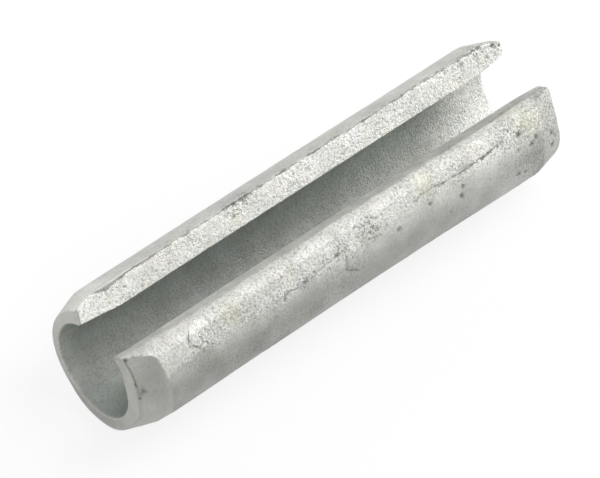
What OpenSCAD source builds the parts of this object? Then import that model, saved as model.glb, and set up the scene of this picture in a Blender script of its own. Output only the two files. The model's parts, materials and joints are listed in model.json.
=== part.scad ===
// Slotted spring pin: a strip of spring steel rolled into an open tube, chamfered at both ends
// and galvanised. The pin lies along X with its slot facing up. The origin is on the pin's axis,
// midway between its ends.

/* [Tube] */
// Length from end face to end face
pin_length = 40; // [20:1:80]
// Outer diameter of the sprung-open pin
pin_d = 10.7; // [9:0.1:14]
// Thickness of the rolled strip
wall = 2; // [1.6:0.1:2.4]

/* [Slot] */
// Angle around the axis from the middle of the slot to the square edge
square_edge_angle = 32.5; // [20:0.5:50]
// Angle around the axis from the middle of the slot to the rolled-over edge
rolled_edge_angle = 35; // [20:0.5:50]
// Lean of the square edge's face off the radius, towards the slot
square_edge_lean = 0; // [0:1:15]
// Lean of the rolled-over edge's face off the radius, towards the slot
rolled_edge_lean = 14; // [0:1:15]
// Corner radius outside the square edge
square_edge_radius = 0.2; // [0.1:0.05:0.5]
// Corner radius outside the rolled-over edge
rolled_edge_radius = 1.1; // [0.2:0.05:1.2]

/* [Ends] */
// Length of the chamfer at each end, along the pin
chamfer_length = 2.1; // [0.5:0.1:4]
// Depth of the chamfer at the end face, along the radius
chamfer_depth = 0.75; // [0.3:0.05:0.9]
// Length of the flare inside each mouth, along the pin
flare_length = 3; // [1:0.1:5]
// Depth of the flare at the end face, along the radius
flare_depth = 0.3; // [0.1:0.05:0.5]

/* [Hidden] */
$fn = 96;

pin_r = pin_d / 2;
bore_r = pin_r - wall;
half_length = pin_length / 2;
// How far the slot's outline reaches past the wall that it cuts
over = 1;
// Straight steps in the curve of a flare
flare_steps = 6;
// Straight steps in the arc of a slot edge's corner
corner_steps = 8;

// The slot is drawn looking along the pin, with +Y out through its middle. Angles are measured
// from there towards +X.
function outward(angle) = [sin(angle), cos(angle)];

// Centre of the arc that rounds a slot edge. The arc touches the edge's face, which runs inward
// from the sharp corner, and the pin's outer circle.
function arc_centre(angle, lean, radius) =
    let (
        inward = outward(angle + 180 + lean),
        into_steel = outward(angle + 90 + lean),
        start = pin_r * outward(angle) + radius * into_steel,
        shift = start * inward
    )
    start - (shift + sqrt(shift * shift - start * start + pow(pin_r - radius, 2))) * inward;

// One half of the slot: out past the rim, round the edge's corner and in past the bore's wall
function half_slot(angle, lean, radius) =
    let (
        centre = arc_centre(angle, lean, radius),
        rim_angle = atan2(centre[0], centre[1]),
        face_angle = angle - 90 + lean,
        arc = [
            for (i = [0:corner_steps])
                centre + radius * outward(rim_angle + (face_angle - rim_angle) * i / corner_steps)
        ]
    )
    concat(
        [
            [0, pin_r + 2 * over],
            (pin_r + 2 * over) * outward(rim_angle),
            arc[0] + over * (arc[0] - arc[1]) / norm(arc[0] - arc[1])
        ],
        [for (i = [1:corner_steps]) arc[i]],
        [pin_r * outward(angle) + (wall + over) * outward(angle + 180 + lean), [0, 0]]
    );

module slot() {
    polygon(half_slot(square_edge_angle, square_edge_lean, square_edge_radius));
    mirror([1, 0])
        polygon(half_slot(rolled_edge_angle, rolled_edge_lean, rolled_edge_radius));
}

// The flare opens ever more steeply towards the mouth. In this outline X is the radius.
function flare(end) = [
    for (i = [0:flare_steps])
        let (t = i / flare_steps)
        [bore_r + flare_depth * t * t, end * (half_length - flare_length * (1 - t))]
];

// The tube before its slot is opened: chamfered outside, with a bore and two flared mouths
module tube_outline() {
    polygon(concat(
        flare(1),
        [
            [pin_r - chamfer_depth, half_length],
            [pin_r, half_length - chamfer_length],
            [pin_r, chamfer_length - half_length],
            [pin_r - chamfer_depth, -half_length]
        ],
        [for (i = [flare_steps:-1:0]) flare(-1)[i]]
    ));
}

module spring_pin() {
    color([0.74, 0.75, 0.74])
        difference() {
            rotate([0, 90, 0]) rotate_extrude() tube_outline();
            rotate([90, 0, 90])
                linear_extrude(pin_length + 2 * over, center = true) slot();
        }
}

spring_pin();
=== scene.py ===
"""A galvanised slotted spring pin that lies on a white floor with its slot facing up.

The pin's surface is one closed grid, bent round the tube's wall and along the pin. Shapes are
worked out in millimetres, in the CAD frame: X along the pin, Z up through the middle of the slot.
An angle is measured round the axis from the middle of the slot, positive towards +Y.
"""
import itertools
import json

import bpy
import numpy as np
from mathutils import Matrix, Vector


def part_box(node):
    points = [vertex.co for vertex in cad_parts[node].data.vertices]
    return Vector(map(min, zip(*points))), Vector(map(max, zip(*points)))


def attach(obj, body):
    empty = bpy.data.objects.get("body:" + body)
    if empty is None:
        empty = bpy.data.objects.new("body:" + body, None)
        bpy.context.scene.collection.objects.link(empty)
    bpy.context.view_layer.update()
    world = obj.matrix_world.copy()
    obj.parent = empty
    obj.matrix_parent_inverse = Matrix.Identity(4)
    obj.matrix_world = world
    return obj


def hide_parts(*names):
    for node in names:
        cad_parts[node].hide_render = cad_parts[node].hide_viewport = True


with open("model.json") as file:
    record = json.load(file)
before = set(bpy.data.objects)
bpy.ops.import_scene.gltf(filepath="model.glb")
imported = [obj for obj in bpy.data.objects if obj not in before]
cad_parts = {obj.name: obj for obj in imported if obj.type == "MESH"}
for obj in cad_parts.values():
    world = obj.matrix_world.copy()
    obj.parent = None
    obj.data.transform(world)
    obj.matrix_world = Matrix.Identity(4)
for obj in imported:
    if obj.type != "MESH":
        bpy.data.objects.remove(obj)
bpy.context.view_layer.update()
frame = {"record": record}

MM = 0.001
NODE = "spring_pin"
lowest, highest = (np.array(corner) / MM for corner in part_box(NODE))
mounts = {mount["name"]: mount["dims"] for mount in frame["record"]["mounts"]}

# The tube, as packed
HALF_LENGTH = (highest[0] - lowest[0]) / 2
FLOOR_Z = lowest[2]
PIN_R = mounts["shank"]["r_mm"]
BORE_R = mounts["bore"]["r_mm"]
CHAMFER_LENGTH = HALF_LENGTH - mounts["shank"]["length_mm"] / 2
FLARE_LENGTH = HALF_LENGTH - mounts["bore"]["length_mm"] / 2
CHAMFER_DEPTH = 0.75
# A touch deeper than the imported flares
FLARE_DEPTH = 0.32

# How the real pin strays from true: a waist, a bent axis, a slot that widens towards the far end
WAIST = 0.03
BOW = 0.06
ROLLED_ANGLES = (35.8, 36.8)
# How many degrees the rolled edge closes in the last of the near end
NEAR_CLOSING = 1.2
# Where each end's chamfer leaves more steel: angle, reach in degrees, and the steel's depth
FULLER = {
    "near": [(-70, 46, 0.28), (190, 44, 0.32), (28, 26, 0.19), (120, 50, 0.06)],
    "far": [(-118, 45, 0.21), (-35, 20, 0.10), (36, 35, 0.05)],
}
# Where each end sticks out: angle, reach in degrees, and length
TIPS = {
    "near": [(-36, 25, -0.12)],
    "far": [(33, 50, 0.20), (-36, 14, 0.08), (-60, 25, -0.08)],
}
# The low side below the rolled edge: angle, and reach in degrees. The wall is thicker there, by
# one amount at the near end and another at the far end, and the near chamfer starts softly.
LOW_SIDE = (-125, 50)
THICKER = (0.02, 0.09)
SOFT_CORNER = 0.07
# How much deeper the near flare is: all round, towards +Y and towards the slot
NEAR_FLARE = (0.05, 0.19, -0.27)
# The burr that hangs into the bore below the square edge, and the hollow in its place at the
# near mouth
BURR = 0.11
BURR_HOLLOW = 0.10

# The slot's two edges: angle from the middle of the slot, lean of the face, corner radius, side
SQUARE_EDGE = dict(angle=32.5, lean=0, radius=0.2, side=1)
ROLLED_EDGE = dict(lean=14, radius=1.1, side=-1)

# The grid: columns round the wall, columns through it, and stations along the pin
AROUND = 140
THROUGH = 22
END_STEP = 0.07
MIDDLE_STEP = 0.155
END_ROUNDING = 0.14
MOUTH_ROUNDING = 0.07
ROUNDING_STEPS = 5
SOFTENING_PASSES = 1
# Points in each half of a slot edge's dense outline: its face, and the arc of its corner
CURVE_POINTS = 60
# Millimetres across the UV map, for the unrolled sides and for the end faces, and the centres of
# the end faces on it
SHEET = 50
END_SHEET = 62
END_CENTRES = [(0.905, 0.15), (0.905, 0.40)]

# Points along each side of the noise's repeating lattice
LATTICE = 64

# ------------------------------------------------------------------------------ helpers


def smooth_step(low, high, value):
    """0 below low, 1 above high, and a smooth rise between them; low may be above high."""
    t = np.clip((value - low) / (high - low), 0, 1)
    return t * t * (3 - 2 * t)


def noise(points, size, seed):
    """Smooth lumps from -1 to 1 at points (mm), about size mm across."""
    lattice = np.random.default_rng(seed).uniform(-1, 1, (LATTICE, LATTICE, LATTICE))
    place = points / size
    corner = np.floor(place).astype(int)
    part = place - corner
    part = part * part * (3 - 2 * part)
    total = np.zeros(len(points))
    for step in itertools.product((0, 1), repeat=3):
        weight = np.prod(np.where(step, part, 1 - part), axis=-1)
        total += weight * lattice[tuple(((corner + step) % LATTICE).T)]
    return total


def noise_sum(points, layers):
    """Several noises added up. Each layer is a height, the size of its lumps and a seed."""
    return sum(height * noise(points, size, seed) for height, size, seed in layers)


def outward(angle):
    """Unit vectors (y, z) at angles in degrees from the middle of the slot."""
    turn = np.radians(angle)
    return np.stack([np.sin(turn), np.cos(turn)], -1)


def lerp(a, b, t):
    """The value at a share t of the way from a to b."""
    return a + (b - a) * t


def crowded(steps, share):
    """Places from 0 to 1, closer together near both ends. A larger share crowds them more."""
    t = np.linspace(0, 1, steps + 1)
    return lerp(t, (1 - np.cos(np.pi * t)) / 2, share)


def near_angle(angle, centre, reach):
    """1 at the centre angle, falling to 0 at this many degrees from it."""
    return smooth_step(np.cos(np.radians(reach)), 1, np.cos(np.radians(angle - centre)))


# ------------------------------------------------------------------------------ section


def edge_curve(angle, lean, radius, side):
    """Dense points (y, z) along a slot edge, from inside the bore to where it meets the rim."""
    inward = outward(angle + 180 + lean)
    into_steel = outward(angle + 90 + lean)
    start = PIN_R * outward(angle) + radius * into_steel
    shift = start @ inward
    root = np.sqrt(shift**2 - start @ start + (PIN_R - radius) ** 2)
    centre = start - (shift + root) * inward
    rim_angle = np.degrees(np.arctan2(*centre))
    arc = centre + radius * outward(np.linspace(angle - 90 + lean, rim_angle, CURVE_POINTS))
    # The face starts well inside the bore
    foot = PIN_R * outward(angle) + PIN_R * 0.6 * inward
    face = lerp(foot, arc[0], np.linspace(0, 1, CURVE_POINTS)[:-1, None])
    return np.concatenate([face, arc]) * (side, 1)


def part_of_edge(curve, inner_r, outer_r):
    """Points along a slot edge between two radii, closer together near its two corners."""
    radii = np.linalg.norm(curve, axis=1)
    steps = np.linalg.norm(np.diff(curve, axis=0), axis=1)
    lengths = np.concatenate([[0], np.cumsum(steps)])
    ends = np.interp([inner_r, outer_r], radii, lengths)
    spots = lerp(*ends, crowded(THROUGH, 0.4))
    return np.stack([np.interp(spots, lengths, curve[:, axis]) for axis in (0, 1)], 1)


def angle_of(point):
    """Degrees round the axis from the middle of the slot, for points (y, z)."""
    return np.degrees(np.arctan2(point[..., 0], point[..., 1]))


def outer_radius(x, angle):
    """The pin's radius: a slight waist, and a chamfer at each end. Low on the rolled edge's side
    the wall is a little thicker, most at the far end, and the near chamfer starts softly."""
    into_chamfer = max(0, abs(x) - (HALF_LENGTH - CHAMFER_LENGTH)) / CHAMFER_LENGTH
    fuller = FULLER["near" if x < 0 else "far"]
    depth = CHAMFER_DEPTH - sum(more * near_angle(angle, at, reach) for at, reach, more in fuller)
    waist = WAIST * (1 - (x / HALF_LENGTH) ** 2)
    low_side = near_angle(angle, *LOW_SIDE)
    soft = SOFT_CORNER * low_side * np.exp(-(((x + 17.8) / 0.8) ** 2))
    thick = low_side * lerp(*THICKER, smooth_step(6, 15, x))
    return PIN_R - waist - soft + thick - depth * into_chamfer


def bore_radius(x, angle):
    """The bore's radius: it flares at each mouth, and the near mouth most at the bottom and
    least below the rolled-over edge. A burr hangs below the square edge."""
    turn = np.radians(angle)
    into_flare = max(0, abs(x) - (HALF_LENGTH - FLARE_LENGTH)) / FLARE_LENGTH
    all_round, sideways, slotward = NEAR_FLARE
    uneven = (all_round + sideways * np.sin(turn) + slotward * np.cos(turn)) * (x < 0)
    near_mouth = smooth_step(-16, -18.4, x)
    burr = lerp(BURR, -BURR_HOLLOW, near_mouth) * smooth_step(19.5, 16, x)
    burr = burr * near_angle(angle, 33, 40)
    return BORE_R + (FLARE_DEPTH + uneven) * into_flare**2 - burr


def arc_between(start, end, radius_at):
    """Points (y, z) round the wall's bottom, closer together near the slot."""
    t = crowded(AROUND, 0.7)
    angles = lerp(angle_of(start), angle_of(end) - 360, t)
    points = radius_at(angles)[:, None] * outward(angles)
    # The ends are met exactly
    points += lerp(start - points[0], end - points[-1], t[:, None])
    return points


def section(x):
    """The closed outline at x, as points (y, z): up the rolled edge, round the outside, down the
    square edge and back round the bore."""
    rolled_angle = lerp(*ROLLED_ANGLES, (x / HALF_LENGTH + 1) / 2)
    rolled_angle -= NEAR_CLOSING * smooth_step(-18.4, -HALF_LENGTH, x)
    edges = []
    for edge in (dict(ROLLED_EDGE, angle=rolled_angle), SQUARE_EDGE):
        angle = edge["side"] * edge["angle"]
        wall = bore_radius(x, angle), outer_radius(x, angle)
        edges.append(part_of_edge(edge_curve(**edge), *wall))
    rolled, square = edges
    outer = arc_between(rolled[-1], square[-1], lambda angle: outer_radius(x, angle))
    inner = arc_between(rolled[0], square[0], lambda angle: bore_radius(x, angle))
    return np.concatenate([rolled[:-1], outer[:-1], square[:0:-1], inner[:0:-1]])


def stations():
    """Places along the pin, closer together near the ends."""
    middle = HALF_LENGTH - FLARE_LENGTH
    flare = np.arange(END_STEP, FLARE_LENGTH, (END_STEP + MIDDLE_STEP) / 2)
    count = int(2 * middle / MIDDLE_STEP)
    turn = np.linspace(90, 0, ROUNDING_STEPS + 1)
    rounding = HALF_LENGTH - END_ROUNDING * (1 - np.sin(np.radians(turn)))
    near_end = middle + flare[flare < FLARE_LENGTH - END_ROUNDING * 1.3]
    right = np.concatenate([near_end, rounding[::-1]])
    return np.concatenate([-right[::-1], np.linspace(-middle, middle, count), right])


def inset_at(x, rounding):
    """How far an end face's rim, rounded to this radius, has drawn in at x."""
    past = np.clip((abs(x) - HALF_LENGTH + rounding) / rounding, 0, 1)
    return rounding * (1 - np.sqrt(1 - past**2))


def drawn_in(outline, x):
    """A section's outline, moved into the steel by the rounding of the rims at x."""
    along = np.roll(outline, -1, axis=0) - np.roll(outline, 1, axis=0)
    along /= np.linalg.norm(along, axis=1, keepdims=True)
    inset = np.full(len(outline), inset_at(x, END_ROUNDING))
    inset[2 * THROUGH + AROUND :] = inset_at(x, MOUTH_ROUNDING)
    return outline + inset[:, None] * np.stack([-along[:, 1], along[:, 0]], 1)


def tube_grid():
    """The pin's sides as a grid of points (station, column, xyz), with softened corners."""
    places = stations()
    rows = [drawn_in(section(x), x) for x in places]
    grid = np.stack([np.column_stack([np.full(len(row), x), row]) for x, row in zip(places, rows)])
    for _ in range(SOFTENING_PASSES):
        across = (np.roll(grid, 1, axis=1) + np.roll(grid, -1, axis=1)) / 2
        grid = lerp(grid, across, 0.5)
        grid[1:-1] = lerp(grid[1:-1], (grid[:-2] + grid[2:]) / 2, 0.5)
    x, angle = grid[:, :, 0].copy(), angle_of(grid[:, :, 1:])
    for end, tips in ((-1, TIPS["near"]), (1, TIPS["far"])):
        longer = sum(more * near_angle(angle, at, reach) for at, reach, more in tips)
        grid[:, :, 0] += end * longer * smooth_step(14, HALF_LENGTH, end * x)
    grid[:, :, 1] -= BOW * (x / HALF_LENGTH) ** 2
    return grid


def end_face(loop):
    """A grid (round, through, xyz) that fills the ring between an end's two rims."""
    rolled = loop[: THROUGH + 1]
    outer = loop[THROUGH : THROUGH + AROUND + 1]
    square = loop[THROUGH + AROUND : 2 * THROUGH + AROUND + 1][::-1]
    inner = np.concatenate([loop[2 * THROUGH + AROUND :], loop[:1]])[::-1]
    u = np.linspace(0, 1, AROUND + 1)[:, None, None]
    w = np.linspace(0, 1, THROUGH + 1)[None, :, None]
    between = lerp(inner[:, None], outer[:, None], w)
    at_rolled = rolled[None] - lerp(inner[0], outer[0], w)
    at_square = square[None] - lerp(inner[-1], outer[-1], w)
    return between + (1 - u) * at_rolled + u * at_square


def side_faces(rows, columns):
    """Vertex numbers of the quads between stations, all facing out of the steel."""
    row, column = np.meshgrid(np.arange(rows - 1), np.arange(columns), indexing="ij")
    after = (column + 1) % columns
    corners = [(row, column), (row, after), (row + 1, after), (row + 1, column)]
    return np.stack([r * columns + c for r, c in corners], -1).reshape(-1, 4)


def grid_faces(numbers):
    """Quads over a grid of vertex numbers."""
    corners = [numbers[:-1, :-1], numbers[1:, :-1], numbers[1:, 1:], numbers[:-1, 1:]]
    return np.stack(corners, -1).reshape(-1, 4)


def end_numbers(loop_start, inner_start):
    """Vertex numbers over an end face's grid: its border is a loop of the sides."""
    numbers = np.empty((AROUND + 1, THROUGH + 1), dtype=int)
    inside = (AROUND - 1) * (THROUGH - 1)
    numbers[1:-1, 1:-1] = inner_start + np.arange(inside).reshape(AROUND - 1, THROUGH - 1)
    loop = loop_start + np.append(np.arange(2 * (AROUND + THROUGH)), 0)
    numbers[0] = loop[: THROUGH + 1]
    numbers[:, -1] = loop[THROUGH : THROUGH + AROUND + 1]
    numbers[-1] = loop[THROUGH + AROUND : 2 * THROUGH + AROUND + 1][::-1]
    numbers[:, 0] = loop[2 * THROUGH + AROUND :][::-1]
    return numbers


# ------------------------------------------------------------------------------ wear, and painted light and shade

# Pits on the rolled edge's wall: place along the pin, angle, radius and depth
PITS = [
    (-10.0, -54, 0.14, 0.04),
    (-6.9, -64, 0.14, 0.05),
    (-4.9, -60, 0.20, 0.06),
    (-3.9, -57, 0.14, 0.05),
    (-1.7, -56, 0.18, 0.06),
    (-1.5, -34, 0.16, 0.05),
    (0.4, -45, 0.10, 0.04),
    (0.9, -57, 0.11, 0.05),
    (1.1, -47, 0.11, 0.04),
    (1.4, -55, 0.14, 0.06),
    (2.1, -57, 0.14, 0.05),
    (2.0, -46, 0.10, 0.04),
    (3.0, -58, 0.11, 0.05),
    (3.9, -67, 0.18, 0.05),
    (6.9, -63, 0.20, 0.06),
    (8.7, -82, 0.14, 0.05),
    (9.8, -74, 0.21, 0.07),
    (10.0, -66, 0.18, 0.06),
    (15.3, -89, 0.26, 0.06),
    (15.4, -66, 0.16, 0.06),
    (15.8, -54, 0.20, 0.07),
    (16.0, -92, 0.16, 0.06),
    (16.7, -68, 0.18, 0.06),
    (17.2, -64, 0.20, 0.06),
    (18.8, -73, 0.24, 0.07),
    (18.8, -85, 0.20, 0.06),
    (19.3, -79, 0.14, 0.06),
    (-19.6, -65, 0.26, 0.05),
    (-19.8, -34, 0.20, 0.08),
]

# Pits on the square edge's face: place along the pin, distance from the axis, radius and depth
FACE_PITS = [
    (-15.6, 4.3, 0.10, 0.05),
    (-14.2, 3.6, 0.12, 0.05),
    (-6.1, 5.20, 0.16, 0.06),
    (-5.7, 5.16, 0.15, 0.06),
    (-5.2, 5.14, 0.18, 0.07),
    (-4.5, 5.13, 0.22, 0.07),
    (-4.1, 5.16, 0.20, 0.07),
    (-3.6, 5.10, 0.14, 0.06),
    (-5.5, 4.30, 0.16, 0.05),
    (-4.2, 4.60, 0.12, 0.05),
    (14.8, 4.8, 0.16, 0.04),
    (16.3, 4.7, 0.24, 0.03),
    (16.4, 4.2, 0.16, 0.02),
    (17.8, 4.4, 0.18, 0.03),
    (18.7, 4.1, 0.18, 0.03),
    (18.2, 5.22, 0.28, 0.06),
    (19.4, 4.7, 0.22, 0.07),
    (20.0, 4.4, 0.16, 0.07),
    (20.1, 3.9, 0.14, 0.06),
]

# Fine dark lines there: strength, width against the finest, and the line's points (along the pin,
# angle). The first, round the drip's left and lower edges, is painted shadow; the rest are dark
# lines in the zinc
LINES_AND_SHADOWS = [
    # Painted shadow round the drip's left and lower edges
    (
        0.8,
        1.0,
        [(-14.7, -41), (-15.0, -45), (-15.2, -49), (-15.1, -53), (-14.5, -57), (-14.2, -56)],
    ),
    (0.5, 1.0, [(-13.9, -56), (-13.6, -60)]),
    (0.6, 1.0, [(-14.2, -50), (-14.1, -54)]),
    (0.5, 1.0, [(-13.6, -48), (-13.5, -54)]),
    (0.5, 1.0, [(-13.1, -50), (-13.0, -55)]),
    (1.0, 1.4, [(-1.1, -64), (-1.2, -73), (-0.4, -79)]),
    (0.5, 1.0, [(0.4, -62), (1.2, -60), (2.0, -61)]),
    (0.6, 1.3, [(5.6, -54), (6.6, -52), (7.5, -52)]),
    (
        1.0,
        1.5,
        [(7.5, -52), (8.5, -54), (9.4, -54), (10.4, -55), (11.4, -54), (12.3, -54), (13.0, -53)],
    ),
    (1.0, 2.2, [(13.1, -53), (14.1, -52)]),
    (0.7, 1.0, [(-7.6, -61), (-6.2, -60), (-5.2, -62), (-3.6, -59), (-1.9, -57)]),
    (0.6, 1.0, [(16.4, -38), (17.1, -42), (17.9, -43)]),
    (0.5, 1.0, [(18.2, -39), (18.1, -46), (17.9, -52), (17.5, -58)]),
    (0.6, 1.0, [(16.4, -68), (17.0, -66), (17.6, -63)]),
    (1.0, 1.0, [(-19.88, -43), (-19.88, -58), (-19.88, -72)]),
    (0.4, 1.0, [(-19.88, -72), (-19.88, -95)]),
    (0.8, 1.0, [(-19.4, -35), (-19.0, -37), (-18.7, -38)]),
]

# Where the smooth skin folds over the square edge's face: place along the pin, and distance from
# the axis
FOLD = [
    (-19.75, 4.75),
    (-19.3, 5.10),
    (-18.7, 5.34),
    (-18.3, 5.27),
    (-17.9, 5.14),
    (-17.4, 4.94),
    (-16.9, 4.87),
    (-16.4, 4.94),
    (-15.8, 5.04),
    (-15.0, 5.12),
    (-10.0, 5.18),
    (-6.0, 5.16),
    (-3.5, 5.15),
    (-1.0, 5.20),
    (5.0, 5.18),
    (12.0, 5.20),
    (16.4, 5.19),
    (17.0, 5.12),
    (17.8, 5.14),
    (18.3, 5.30),
    (18.5, 5.60),
]

# The frozen drip of zinc on the rolled edge's wall: place along the pin, angle and height
DRIP = (-14.1, -48)
DRIP_HEIGHT = 0.06

# Patches that are stained a faint yellow: place along the pin, angle, distance from the axis and
# size
STAINED = [
    (16.8, -48, 5.3, 1.6),
    (7.0, -48, 5.3, 1.2),
    (-5.4, 32, 4.3, 0.6),
    (-11.0, -50, 5.3, 1.2),
]

# Patches that are peppered with dark specks: place along the pin, angle, distance from the
# axis, size and strength
PEPPERED = [
    (-7.0, -60, 5.3, 0.7, 0.6),
    (-5.0, -59, 5.3, 0.8, 0.9),
    (-3.0, -58, 5.3, 0.7, 0.6),
    (-1.2, -53, 5.3, 0.7, 0.7),
    (1.4, -53, 5.3, 1.2, 1.0),
    (7.0, -54, 5.3, 0.8, 0.5),
    (10.0, -56, 5.3, 1.2, 0.5),
    (15.0, -45, 5.3, 1.4, 0.5),
    (15.5, -85, 5.3, 1.5, 0.5),
    (18.6, -70, 4.9, 1.4, 0.8),
    (-5.6, 32, 5.2, 0.8, 0.9),
    (-4.3, 32, 5.2, 0.8, 1.0),
    (-5.3, 32, 4.4, 0.6, 0.6),
    (15.5, 32, 5.0, 0.9, 0.4),
    (18.0, 32, 4.9, 1.1, 0.7),
    (19.6, 32, 4.6, 0.7, 1.0),
    (-13.0, -52, 5.3, 1.2, 0.35),
    (-10.0, -57, 5.3, 1.4, 0.4),
    (-3.0, 150, 3.4, 2.5, 0.25),
    (8.0, 130, 3.4, 2.2, 0.30),
    (-17.0, 150, 3.5, 2.0, 0.30),
]


# The zinc's own unevenness, as noise: swells in the coat, and small lumps in it
SWELLS = [(0.02, 5, 1), (0.012, 1.8, 2)]
LUMPS = [(0.012, 0.7, 3), (0.010, 0.35, 4)]
# Depths of the grooves along the fine lines and round the near end face, and the depth at which a
# hollow is painted quite dark: painted shade in the grooves, darker residue in the pits
GROOVE_DEPTH = 0.03
RING_DEPTH = 0.04
DARK_DEPTH = 0.065


def place(x, angle, radius):
    """A point, from its place along the pin, its angle and its distance from the axis."""
    return np.array([x, *(radius * outward(angle))])


class Surface:
    """Where each vertex of the pin lies, and on which of its faces."""

    def __init__(self, points, columns, rows):
        self.points = points
        self.x = points[:, 0]
        self.angle = angle_of(points[:, 1:])
        self.radius = np.linalg.norm(points[:, 1:], axis=1)
        column = np.full(len(points), -1)
        column[: rows * columns] = np.tile(np.arange(columns), rows)
        self.on_rolled = (column >= 0) & (column <= THROUGH)
        self.on_outside = (column > THROUGH) & (column < THROUGH + AROUND)
        self.on_square = (column >= THROUGH + AROUND) & (column <= 2 * THROUGH + AROUND)
        self.in_bore = column > 2 * THROUGH + AROUND
        # How far into an end face's rounded rim, 0 to 1
        self.at_end = smooth_step(HALF_LENGTH - 1.5 * END_ROUNDING, HALF_LENGTH, abs(self.x))
        self.end_face = (column < 0) | (self.at_end > 0.5) * ~self.in_bore


def fold_radius(surface):
    """Distance from the axis of the fold of the skin over the square edge's face."""
    places, radii = np.array(FOLD).T
    return np.interp(surface.x, places, radii) + 0.04 * noise(surface.points, 0.6, 13)


def square_face(surface):
    """1 on the granular part of the square edge's face, inside the fold of the skin."""
    fold = fold_radius(surface)
    inside = smooth_step(fold + 0.04, fold - 0.04, surface.radius)
    return inside * surface.on_square * smooth_step(-19.8, -19.65, surface.x)


def worn_facet(surface):
    """1 on the near chamfer's worn facet, on the rolled edge's side."""
    line = -17.7 - 0.012 * (surface.angle + 60) + 0.05 * noise(surface.points, 0.5, 19)
    on_wall = surface.on_outside * (surface.angle < 0)
    return on_wall * smooth_step(line + 0.06, line - 0.06, surface.x)


def past_far_corner(surface):
    """Distance, in mm along the pin, past the ragged corner of the far chamfer."""
    corner = 18.1 + 0.02 * np.minimum(surface.angle + 50, 10)
    return surface.x - corner - 0.12 * noise(surface.points, 0.6, 20)


def rolled_wall(surface, lowest_radius):
    """1 on the outside, and on the rolled edge's face above this distance from the axis."""
    return surface.on_outside + surface.on_rolled * (surface.radius > lowest_radius)


def far_facet(surface):
    """1 on the far chamfer, on the rolled edge's side."""
    on_wall = rolled_wall(surface, 4.35) * (surface.angle < 0)
    return on_wall * smooth_step(-0.08, 0.08, past_far_corner(surface))


def far_ridge(surface):
    """1 on the pale ridge of zinc along the corner of the far chamfer."""
    ridge = np.exp(-(((past_far_corner(surface) + 0.12) / 0.10) ** 2))
    return rolled_wall(surface, 4.6) * ridge * near_angle(surface.angle, -46, 20)


def rolled_band(surface):
    """1 on the granular band above the ragged line on the rolled edge's wall."""
    wander = 4 * noise(surface.points, 1.6, 11) + 3 * noise(surface.points, 0.5, 12)
    line = -62 + 4 * smooth_step(0, 8, surface.x) + wander
    band = smooth_step(line - 5, line + 2, surface.angle) * (surface.angle < 0)
    low = 4.4 - 0.2 * smooth_step(-13, -18, surface.x)
    crest = smooth_step(low, low + 0.2, surface.radius + 0.12 * noise(surface.points, 0.8, 16))
    return band * (surface.on_outside + surface.on_rolled * crest) * (1 - worn_facet(surface))


def far_tip(surface):
    """1 on the granular end of the far chamfer, beside the square edge."""
    start = 18.3 + 0.15 * noise(surface.points, 0.5, 31)
    beside_edge = near_angle(surface.angle, 30, 26)
    return surface.on_outside * beside_edge * smooth_step(start, start + 0.3, surface.x)


def grain_mask(surface):
    """How granular the zinc is: 0 to 1."""
    patchy = smooth_step(-0.3, 0.6, noise(surface.points, 2.5, 14))
    outside = surface.on_outside * (0.15 + 0.35 * patchy)
    far_end = smooth_step(12, 18, surface.x) * (surface.angle < 0) * surface.on_outside
    far_end += far_facet(surface) * surface.on_rolled
    mouth = 0.3 * smooth_step(11, 17, surface.x) * surface.in_bore
    mask = outside + 0.25 * far_end + mouth + 0.4 * surface.in_bore + 0.25 * surface.on_rolled
    mask *= 1 - 0.7 * worn_facet(surface)
    clean = 0.75 + 0.35 * noise(surface.points, 1.3, 18)
    softer = 1 - 0.3 * smooth_step(-12, -16, surface.x)
    band = 0.72 * softer * rolled_band(surface)
    bright = (square_face(surface) + band + far_tip(surface)) * np.clip(clean, 0.4, 1)
    below_edge = surface.in_bore * near_angle(surface.angle, 33, 38)
    return np.clip((mask + bright) * (1 - 0.85 * below_edge), 0, 1)


def wall_tone_and_shade(surface):
    """How pale the smooth wall is painted: on the rolled edge's side paler just below the granular
    band and darker towards the floor, darker towards the near end and paler towards the far end;
    on the square edge's side paler towards the far end and at the near end. These gradients are
    painted light and shade, with random tone on top.
    """
    # Painted shade and light: darker towards the floor and the near end, paler towards the far end
    # and low down there
    below_band = 0.12 + 0.45 * smooth_step(-82, -56, surface.angle)
    below_band *= 1 - 0.4 * smooth_step(-9, -16, surface.x)
    below_band += 0.10 * smooth_step(-5, 20, surface.x)
    below_band += 0.20 * smooth_step(12, 16, surface.x) * near_angle(surface.angle, -102, 25)
    # Painted light: paler towards the far end and at the near end
    square_side = 0.43 + 0.07 * smooth_step(5, 18, surface.x)
    square_side += 0.22 * smooth_step(-16, -18, surface.x)
    wall = np.where(surface.angle < 0, below_band, square_side)
    return wall + 0.09 * noise(surface.points, 2.4, 15) + 0.07 * noise(surface.points, 1.0, 17)


def plain_paleness(surface):
    """How pale each of the pin's faces is painted, before what lies on it, with painted light and
    shade on the smooth wall and in the bore.
    """
    mask = surface.on_outside * wall_tone_and_shade(surface)
    strip = lerp(0.35, 0.19, smooth_step(-15, 8, surface.x))
    strip += 0.12 * noise(surface.points, 0.8, 26)
    mask += surface.on_rolled * strip
    mask += lerp(0.24, 0.34, smooth_step(-14, -15, surface.x)) * surface.on_square
    ring = 0.37 + 0.20 * near_angle(surface.angle, 50, 60)
    ring -= 0.22 * near_angle(surface.angle, 185, 60)
    mask = lerp(mask, ring, surface.end_face * 1.0)
    # Painted light: the bore is paler towards the far mouth, where the light comes in, but not
    # below the square edge, which is painted shadow
    far_mouth_light = 0.62 * smooth_step(12.0, 17.5, surface.x) * (1 - near_angle(surface.angle, 33, 60))
    # Painted highlight: the bore's rounded rim at each mouth is paler
    return mask + surface.in_bore * np.maximum(0.48 * surface.at_end, far_mouth_light)


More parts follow.
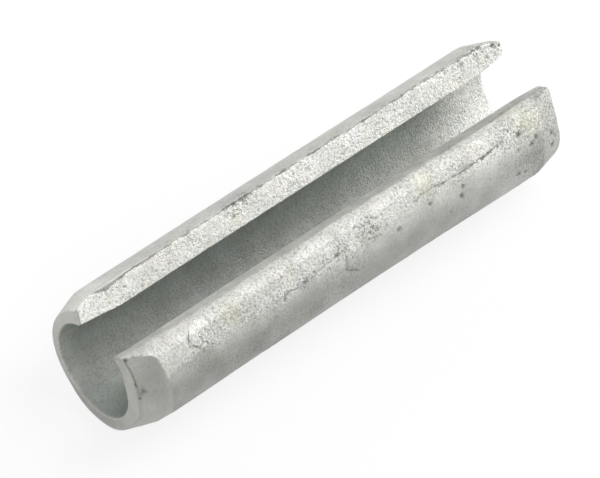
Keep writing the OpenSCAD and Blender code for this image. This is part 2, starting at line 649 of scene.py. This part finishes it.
def paleness_and_painted_light(surface):
    """How pale the pin is painted, from worn grey at 0 to white at 1: the zinc's own patches, with
    painted light and shade on the smooth wall, in the bore and on the square edge's face.
    """
    mask = plain_paleness(surface)
    band = 0.56 - 0.03 * smooth_step(14, 17, surface.x)
    mask = np.maximum(mask, band * rolled_band(surface))
    mask = lerp(mask, 0.17 - 0.16 * (surface.angle + 60) / 60, worn_facet(surface))
    mask = lerp(mask, 0.20, 0.9 * far_facet(surface))
    mask = np.maximum(mask, 0.85 * far_ridge(surface))
    # The square edge's granular face is painted near white, a little less towards the far end:
    # partly its own pale zinc, partly painted light
    face = 1 - 0.14 * smooth_step(6, 9, surface.x)
    mask = lerp(mask, face, square_face(surface))
    mask = lerp(mask, 0.42, far_tip(surface))
    mask = np.maximum(mask, 0.68 * drip_shape(surface))
    return np.clip(mask, 0, 1)


def pit_depth(surface):
    """Depth of the pits, mm."""
    pits = [(place(x, angle, outer_radius(x, angle)), size, deep) for x, angle, size, deep in PITS]
    face_angle = SQUARE_EDGE["angle"]
    pits += [(place(x, face_angle, away), size, deep) for x, away, size, deep in FACE_PITS]
    depth = np.zeros(len(surface.x))
    ragged = 1 + 0.45 * noise(surface.points, 0.22, 21)
    for spot, size, deep in pits:
        away = np.linalg.norm(surface.points - spot, axis=1)
        depth = np.maximum(depth, deep * smooth_step(1.15, 0.55, away / size * ragged))
    return depth


def signed_distances(points, start, end):
    """Distance from each point to a straight stretch of a line on the pin's wall: positive on one
    side of the line and negative on the other."""
    along = end - start
    t = np.clip((points - start) @ along / (along @ along), 0, 1)
    across = np.cross(along, (0, start[1] + end[1], start[2] + end[2]))
    away = np.linalg.norm(points - start - t[:, None] * along, axis=1)
    return np.where((points - start) @ across > 0, away, -away)


def dark_lines_and_shadows(surface):
    """Signed distance, in mm over the line's width, to the nearest fine dark line, and that line's
    strength. The lines along the skin's fold and round the drip's left and lower edges are painted
    shadow."""
    nearest = np.full(len(surface.x), 9.0)
    strength = np.zeros(len(surface.x))
    for strong, wide, line in LINES_AND_SHADOWS:
        spots = [place(x, angle, outer_radius(x, angle)) for x, angle in line]
        for start, end in zip(spots[:-1], spots[1:]):
            away = signed_distances(surface.points, start, end) / wide
            closer = abs(away) < abs(nearest)
            nearest = np.where(closer, away, nearest)
            strength = np.where(closer, strong, strength)
    # The fold's line is painted shadow under the overhanging skin
    for on_edge, (away, bold) in (
        (surface.on_square, fold_shadow_line(surface)),
        (surface.on_rolled, strip_line(surface)),
    ):
        closer = on_edge & (abs(away) < abs(nearest))
        nearest = np.where(closer, away, nearest)
        strength = np.where(closer, bold, strength)
    # A line has its full strength within 0.22 of it, and none beyond 0.40
    return nearest, strength * smooth_step(0.40, 0.22, abs(nearest))


def fold_shadow_line(surface):
    """Signed distance, in mm, to the fold of the skin over the square edge's face, and how
    strongly its dark line shows: a painted shadow under the overhanging skin."""
    away = 0.8 * (surface.radius - fold_radius(surface))
    bold = 0.8 + 0.35 * noise(surface.points, 0.9, 24) + 0.2 * smooth_step(9, 14, surface.x)
    return away, np.clip(bold, 0.5, 1)


def strip_line(surface):
    """The same for the line below the smooth strip on the rolled edge, towards the far end."""
    line = lerp(4.50, 4.25, smooth_step(14, 17, surface.x)) + 0.06 * noise(surface.points, 1.5, 28)
    bold = smooth_step(4, 12, surface.x) * (0.8 + 0.5 * noise(surface.points, 1.2, 29))
    return 0.8 * (surface.radius - line), np.clip(bold, 0, 0.9)


def line_depth(surface):
    """Depth of the shallow grooves that the fine lines run in, mm."""
    nearest, strength = dark_lines_and_shadows(surface)
    return GROOVE_DEPTH * strength * np.exp(-((nearest / 0.10) ** 2))


def ring_groove(surface):
    """Depth of the step between the near end face and the square edge's face, mm."""
    at_ring = (surface.x + 19.72) / 0.06
    return RING_DEPTH * np.exp(-(at_ring**2)) * (surface.radius > 3.9) * surface.on_square


def drip_shape(surface):
    """1 on the frozen drip of zinc, which is a little wider round the pin than along it."""
    away = np.linalg.norm((surface.points - place(*DRIP, PIN_R)) * (1, 0.85, 0.85), axis=1)
    return smooth_step(1.05, 0.75, away + 0.12 * noise(surface.points, 0.5, 30))


def relief(surface, grain):
    """Height of the zinc over the steel's plain shape, mm."""
    height = noise_sum(surface.points, SWELLS)
    height += noise_sum(surface.points, LUMPS) * (0.4 + 0.6 * grain)
    height += DRIP_HEIGHT * drip_shape(surface)
    return height - pit_depth(surface) - line_depth(surface) - ring_groove(surface)


def pit_dark_and_groove_shade(surface):
    """How dark the pits and the grooves are painted, by depth: 0 to 1. The pits hold darker
    residue; the darkness of the grooves along the fine lines and of the step round the near end
    face is painted shade.
    """
    depth = pit_depth(surface) + ring_groove(surface) + 0.5 * line_depth(surface)
    return np.clip(depth / DARK_DEPTH, 0, 1)


def stain_mask(surface):
    """How yellow the zinc is stained: 0 to 1."""
    mask = np.zeros(len(surface.x))
    for x, angle, radius, size in STAINED:
        away = np.linalg.norm(surface.points - place(x, angle, radius), axis=1)
        mask = np.maximum(mask, smooth_step(1.3, 0.2, away / size))
    return mask


def pepper_mask(surface):
    """How thickly dark specks lie: 0 to 1."""
    mask = np.zeros(len(surface.x))
    for x, angle, radius, size, strength in PEPPERED:
        away = np.linalg.norm(surface.points - place(x, angle, radius), axis=1)
        mask = np.maximum(mask, strength * smooth_step(1.3, 0.3, away / size))
    return mask


def bore_shade_mask(surface):
    """1 where the bore is painted a dull greenish grey, fading out towards the far mouth and low
    on the bore's +Y side: mostly painted shade of the deep bore, partly its own duller coat: 0 to
    1.
    """
    inside = surface.in_bore * (1 - surface.at_end) * (1 - smooth_step(10, 18, surface.x))
    return inside * (1 - 0.7 * near_angle(surface.angle, 148, 32))


# ------------------------------------------------------------------------------ mesh


def unrolled(grid):
    """Places on a flat sheet for the grid's points: along the pin, and round its section. The
    last row of places meets the first one's vertices again."""
    middle = grid[len(grid) // 2]
    steps = np.linalg.norm(np.roll(middle, -1, axis=0) - middle, axis=1)
    around = np.concatenate([[0], np.cumsum(steps)]) / SHEET
    along = (grid[:, 0, 0] + HALF_LENGTH) / SHEET
    return np.stack(np.meshgrid(along, around, indexing="ij"), -1)


def add_sheet(mesh, grid, points, end_quads):
    """A UV map without overlaps: the sides unrolled, and the two end faces beside them."""
    sheet = unrolled(grid)
    corners = [sheet[:-1, :-1], sheet[:-1, 1:], sheet[1:, 1:], sheet[1:, :-1]]
    sides = np.stack(corners, -2).reshape(-1, 2)
    ends = [
        points[quads.ravel()][:, 1:] / END_SHEET + centre
        for quads, centre in zip(end_quads, END_CENTRES)
    ]
    layer = mesh.uv_layers.new(name="OFBake")
    layer.data.foreach_set("uv", np.concatenate([sides, *ends]).astype(np.float32).ravel())


def add_masks(mesh, surface, grain):
    """The masks that the pin's material reads, one value for each vertex."""
    line_away, line_strength = dark_lines_and_shadows(surface)
    masks = dict(
        grain=grain,
        pale=paleness_and_painted_light(surface),
        dark=pit_dark_and_groove_shade(surface),
        pepper=pepper_mask(surface),
        line_away=line_away,
        line_strength=line_strength,
        stain=stain_mask(surface),
        inside=bore_shade_mask(surface),
    )
    for name, values in masks.items():
        layer = mesh.attributes.new(name, "FLOAT", "POINT")
        layer.data.foreach_set("value", values.astype(np.float32))


def pin_mesh():
    """The pin's closed surface, with its wear and the masks that its material reads."""
    grid = tube_grid()
    rows, columns = grid.shape[:2]
    sides = grid.reshape(-1, 3)
    near, far = (end_face(loop)[1:-1, 1:-1].reshape(-1, 3) for loop in (grid[0], grid[-1]))
    points = np.concatenate([sides, near, far])
    near_numbers = end_numbers(0, len(sides))
    far_numbers = end_numbers((rows - 1) * columns, len(sides) + len(near))
    end_quads = [grid_faces(near_numbers), grid_faces(far_numbers)[:, ::-1]]
    faces = np.concatenate([side_faces(rows, columns), *end_quads])

    mesh = bpy.data.meshes.new("pin_galvanised")
    mesh.from_pydata(points * MM, [], faces.tolist())
    normals = np.empty(len(points) * 3, dtype=np.float32)
    mesh.vertex_normals.foreach_get("vector", normals)
    surface = Surface(points, columns, rows)
    grain = grain_mask(surface)
    points = points + normals.reshape(-1, 3) * relief(surface, grain)[:, None]
    points[:, 2] = np.maximum(points[:, 2], FLOOR_Z)
    mesh.vertices.foreach_set("co", (points * MM).astype(np.float32).ravel())
    mesh.polygons.foreach_set("use_smooth", np.ones(len(faces), dtype=bool))
    add_sheet(mesh, grid, points, end_quads)
    add_masks(mesh, surface, grain)
    mesh.update()
    return mesh


# ------------------------------------------------------------------------------ materials


def add_node(tree, kind, inputs=None, **settings):
    """A new shader node. Each input is a value, or another node's output to link."""
    made = tree.nodes.new("ShaderNode" + kind)
    for name, value in settings.items():
        setattr(made, name, value)
    for name, value in (inputs or {}).items():
        if isinstance(value, bpy.types.NodeSocket):
            tree.links.new(value, made.inputs[name])
        else:
            made.inputs[name].default_value = value
    return made


def math(tree, operation, first, second):
    """The result of an operation on two values."""
    return add_node(tree, "Math", {0: first, 1: second}, operation=operation).outputs[0]


def blend_colour(tree, factor, first, second, blend_type="MIX"):
    """The second colour laid over the first, as far as the factor says."""
    inputs = {0: factor, 6: first, 7: second}
    made = add_node(tree, "Mix", inputs, data_type="RGBA", blend_type=blend_type)
    return made.outputs[2]


def rescale(tree, value, low, high, to_low, to_high):
    """The value moved from one range to another, and held within it."""
    inputs = {"Value": value, 1: low, 2: high, 3: to_low, 4: to_high}
    return add_node(tree, "MapRange", inputs).outputs[0]


def lumps(tree, place, size, detail=2.0):
    """Noise from 0 to 1 whose lumps are about size mm across."""
    inputs = {"Vector": place, "Scale": 1 / (size * MM), "Detail": detail}
    return add_node(tree, "TexNoise", inputs).outputs["Fac"]


def attribute(tree, name):
    """One of the masks that add_masks gives the mesh."""
    return add_node(tree, "Attribute", attribute_name=name).outputs["Fac"]


def new_material(name):
    """An empty material's node tree and its output node."""
    material = bpy.data.materials.new(name)
    material.use_nodes = True
    tree = material.node_tree
    tree.nodes.clear()
    return material, tree, add_node(tree, "OutputMaterial")


# Linear colours of the zinc, and tints that multiply them
WORN_ZINC = (0.37, 0.375, 0.352, 1)
PALE_ZINC = (0.95, 0.95, 0.91, 1)
# Painted shade: the deep bore's darker greenish grey, partly its own duller coat
BORE_TINT_AND_SHADE = (0.43, 0.457, 0.43, 1)
# Dark zinc for pores, specks, pits and lines, and for the painted shade and shadows
DARK_ZINC_AND_SHADE = (0.13, 0.13, 0.115, 1)
WARM = (1.01, 1.0, 0.975, 1)
COOL = (0.99, 1.0, 1.01, 1)
STAIN = (0.99, 0.99, 0.92, 1)
METALLIC = 0.45
BUMP_DISTANCE = 0.09 * MM
# Size of the pores' cells, mm
PORE_CELL = 0.42


def pore_mask(tree, place, grain):
    """1 in scattered dark pores, on granular zinc only."""
    cells = add_node(tree, "TexVoronoi", {"Vector": place, "Scale": 1 / (PORE_CELL * MM)})
    pore = rescale(tree, cells.outputs["Distance"], 0.14, 0.34, 1, 0)
    chosen = rescale(tree, cells.outputs["Color"], 0.52, 0.66, 0, 1)
    return math(tree, "MULTIPLY", math(tree, "MULTIPLY", pore, chosen), grain)


def line_and_shadow_mask(tree, place):
    """1 along the fine dark lines, which wander and swell a little; those along the skin's fold
    and round the drip are painted shadow.
    """
    wander = rescale(tree, lumps(tree, place, 0.30), 0.3, 0.7, -0.07, 0.07)
    away = math(tree, "ADD", attribute(tree, "line_away"), wander)
    away = math(tree, "ABSOLUTE", away, 0.0)
    swell = rescale(tree, lumps(tree, place, 0.8), 0.35, 0.65, -0.02, 0.05)
    across = rescale(tree, math(tree, "SUBTRACT", away, swell), 0.015, 0.06, 1, 0)
    broken = rescale(tree, lumps(tree, place, 0.45), 0.40, 0.52, 0.5, 1)
    strength = math(tree, "MULTIPLY", broken, attribute(tree, "line_strength"))
    return math(tree, "MULTIPLY", across, strength)


def zinc_colour(tree, place, grain, flecks):
    """The pin's colour before its dark marks: the zinc's patches, tints, stains, flecks and
    mottling, with the painted light and shade that the pale and inside masks carry.
    """
    colour = blend_colour(tree, attribute(tree, "pale"), WORN_ZINC, PALE_ZINC)
    # Painted shade of the deep bore
    colour = blend_colour(tree, attribute(tree, "inside"), colour, BORE_TINT_AND_SHADE)
    shade = rescale(tree, lumps(tree, place, 2.0), 0.3, 0.7, 0.90, 1.07)
    colour = blend_colour(tree, 1.0, colour, shade, "MULTIPLY")
    warmth = rescale(tree, lumps(tree, place, 1.1), 0.35, 0.65, 0, 1)
    tint = blend_colour(tree, warmth, WARM, COOL)
    colour = blend_colour(tree, 1.0, colour, tint, "MULTIPLY")
    colour = blend_colour(tree, attribute(tree, "stain"), colour, STAIN, "MULTIPLY")
    fleck_shade = rescale(tree, flecks, 0.36, 0.56, 0.66, 1.14)
    fleck_amount = rescale(tree, grain, 0.0, 1.0, 0.15, 0.8)
    colour = blend_colour(tree, fleck_amount, colour, fleck_shade, "MULTIPLY")
    mottle = rescale(tree, lumps(tree, place, 0.7), 0.35, 0.65, 0.91, 1.06)
    return blend_colour(tree, grain, colour, mottle, "MULTIPLY")


def speck_mask(tree, place):
    """1 in small dark specks, where the zinc is peppered."""
    speck = rescale(tree, lumps(tree, place, 0.16, 1.0), 0.52, 0.62, 0, 1)
    return math(tree, "MULTIPLY", speck, attribute(tree, "pepper"))


def darkened(tree, colour, pores, specks, line):
    """The colour with its pores, specks, pits and fine lines, and the painted shade in the grooves
    and the painted shadows along the skin's fold and round the drip.
    """
    colour = blend_colour(tree, math(tree, "MULTIPLY", pores, 0.38), colour, DARK_ZINC_AND_SHADE)
    # Painted shade: the darkness of the grooves and the shadow lines joins the specks and pits
    # here
    marks_and_shade = math(tree, "MAXIMUM", math(tree, "MULTIPLY", specks, 0.9), attribute(tree, "dark"))
    marks_and_shade = math(tree, "MAXIMUM", marks_and_shade, line)
    return blend_colour(tree, math(tree, "MULTIPLY", marks_and_shade, 0.82), colour, DARK_ZINC_AND_SHADE)


def zinc_normal(tree, place, grain, flecks, hollows):
    """Bump from the finest lumps and hollows, strongest where the zinc is granular."""
    dust = lumps(tree, place, 0.10, 2.0)
    height = math(tree, "ADD", flecks, math(tree, "MULTIPLY", dust, 0.6))
    height = math(tree, "SUBTRACT", height, math(tree, "MULTIPLY", hollows, 0.5))
    strength = rescale(tree, grain, 0.0, 1.0, 0.2, 0.85)
    inputs = {"Height": height, "Strength": strength, "Distance": BUMP_DISTANCE}
    return add_node(tree, "Bump", inputs).outputs["Normal"]


def zinc_material():
    """Granular, pale galvanised zinc, with darker smooth skin, pores, specks and fine lines, and
    the painted light and shade that its masks carry.
    """
    material, tree, output = new_material("galvanised_zinc")
    place = add_node(tree, "TexCoord").outputs["Object"]
    grain = attribute(tree, "grain")
    flecks = lumps(tree, place, 0.20, 3.0)
    pores = pore_mask(tree, place, grain)
    specks = speck_mask(tree, place)
    line = line_and_shadow_mask(tree, place)
    hollows = math(tree, "MAXIMUM", math(tree, "MAXIMUM", specks, line), pores)
    inputs = {
        "Base Color": darkened(tree, zinc_colour(tree, place, grain, flecks), pores, specks, line),
        "Roughness": rescale(tree, grain, 0.0, 1.0, 0.5, 0.72),
        "Normal": zinc_normal(tree, place, grain, flecks, hollows),
        "Metallic": METALLIC,
    }
    surface = add_node(tree, "BsdfPrincipled", inputs)
    tree.links.new(surface.outputs[0], output.inputs["Surface"])
    return material


# What the floor throws back on the pin, what the camera sees, and how much of that is glow
FLOOR_GREY = (0.30, 0.30, 0.30, 1)
FLOOR_WHITE = (0.92, 0.92, 0.92, 1)
FLOOR_GLOW = 0.82


def floor_material():
    """Paper that the camera sees as white, with the pin's shadow on it. The light that it throws
    back on the pin is that of a mid grey."""
    material, tree, output = new_material("floor_white")
    light = add_node(tree, "LightPath")
    seen = math(tree, "MAXIMUM", light.outputs["Is Camera Ray"], light.outputs["Is Glossy Ray"])
    seen = math(tree, "MAXIMUM", seen, light.outputs["Is Transmission Ray"])
    colour = blend_colour(tree, seen, FLOOR_GREY, FLOOR_WHITE)
    paper = add_node(tree, "BsdfDiffuse", {"Color": colour}).outputs[0]
    glow = add_node(tree, "Emission", {"Color": (1, 1, 1, 1), "Strength": 1.0}).outputs[0]
    share = math(tree, "MULTIPLY", seen, FLOOR_GLOW)
    mixed = add_node(tree, "MixShader", {0: share, 1: paper, 2: glow}).outputs[0]
    tree.links.new(mixed, output.inputs["Surface"])
    return material


# ------------------------------------------------------------------------------ scene

# Lamps that face the pin: name, place and width in metres, and power in watts
LAMPS = [
    ("above", (0.20, -0.05, 0.35), 0.30, 0.83),
    ("beyond", (0.40, -0.05, 0.08), 0.30, 1.8),
    ("front", (-0.22, -0.22, 0.30), 0.30, 0.46),
    ("left", (0.00, 0.35, 0.20), 0.30, 0.39),
]
WORLD_STRENGTH = 0.3
# Half the width of the floor, metres
FLOOR_REACH = 1.5


def add_object(name, data):
    made = bpy.data.objects.new(name, data)
    bpy.context.scene.collection.objects.link(made)
    return made


def add_floor():
    mesh = bpy.data.meshes.new("floor")
    signs = [(-1, -1), (1, -1), (1, 1), (-1, 1)]
    corners = [(FLOOR_REACH * x, FLOOR_REACH * y, 0) for x, y in signs]
    mesh.from_pydata(corners, [], [(0, 1, 2, 3)])
    mesh.materials.append(floor_material())
    floor = add_object("floor", mesh)
    floor.location.z = FLOOR_Z * MM


def turned_to(right, up, back, place):
    """The matrix of a lamp or camera at place, in metres, with its axes turned these ways."""
    turned = np.column_stack([right, up, back, place])
    return Matrix(np.vstack([turned, (0, 0, 0, 1)]).tolist())


def facing_pin(place):
    """The matrix of a lamp at place, in metres, that points at the pin's middle."""
    back = np.array(place) / np.linalg.norm(place)
    right = np.cross((0, 1, 0), back)
    right /= np.linalg.norm(right)
    return turned_to(right, np.cross(back, right), back, place)


def add_lamp(name, place, size, power):
    lamp = bpy.data.lights.new(name, "AREA")
    lamp.shape = "DISK"
    lamp.size = size
    lamp.energy = power
    add_object(name, lamp).matrix_world = facing_pin(place)


def add_world():
    world = bpy.data.worlds.new("studio")
    world.use_nodes = True
    background = world.node_tree.nodes["Background"]
    background.inputs["Color"].default_value = (1, 1, 1, 1)
    background.inputs["Strength"].default_value = WORLD_STRENGTH
    bpy.context.scene.world = world


def add_camera():
    """A long lens that looks down on the pin from its near end, on the rolled edge's side."""
    camera = bpy.data.cameras.new("camera")
    camera.lens = 300
    camera.sensor_width = 36
    camera.clip_start = 0.01
    right = (0.7467, -0.6605, 0.0789)
    up = (0.4843, 0.6211, 0.6163)
    back = (-0.4560, -0.4220, 0.7836)
    place = (-0.1625, -0.1495, 0.2774)
    seen = add_object("camera", camera)
    seen.matrix_world = turned_to(right, up, back, place)
    bpy.context.scene.camera = seen


mesh = pin_mesh()
mesh.materials.append(zinc_material())
pin = add_object("pin_galvanised", mesh)
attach(pin, "root")
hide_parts(NODE)

add_floor()
add_world()
for lamp in LAMPS:
    add_lamp(*lamp)
add_camera()
bpy.context.scene.view_settings.view_transform = "Standard"
